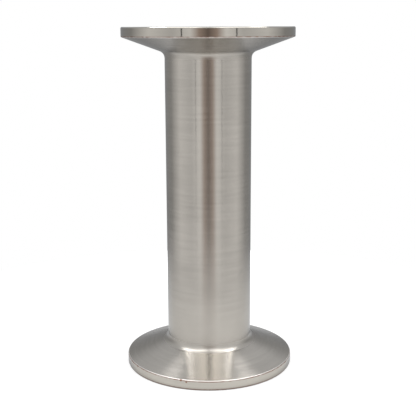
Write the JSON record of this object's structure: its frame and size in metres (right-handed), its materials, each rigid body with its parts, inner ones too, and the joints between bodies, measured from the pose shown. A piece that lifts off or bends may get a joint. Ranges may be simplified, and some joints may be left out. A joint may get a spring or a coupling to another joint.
{
  "type": "sanitary spool pipe",
  "caption": "Short straight stainless tube with a hygienic clamp ferrule welded to each end, for joining process lines with gaskets and clamps.",
  "frame": {"origin": "centre of the lower sealing face, on the bore's axis", "axes": "+Z along the bore from the lower sealing face to the upper one; the part is round, so +X and +Y are free"},
  "size_m": [0.0506, 0.0506, 0.1016],
  "materials": {
    "ferrule_steel": "turned and fine brushed stainless steel with a polished rim",
    "tube_steel": "stainless steel brushed round the tube"
  },
  "bodies": {
    "root": {"lower_ferrule": "ferrule_steel", "tube": "tube_steel", "upper_ferrule": "ferrule_steel"}
  },
  "joints": []
}
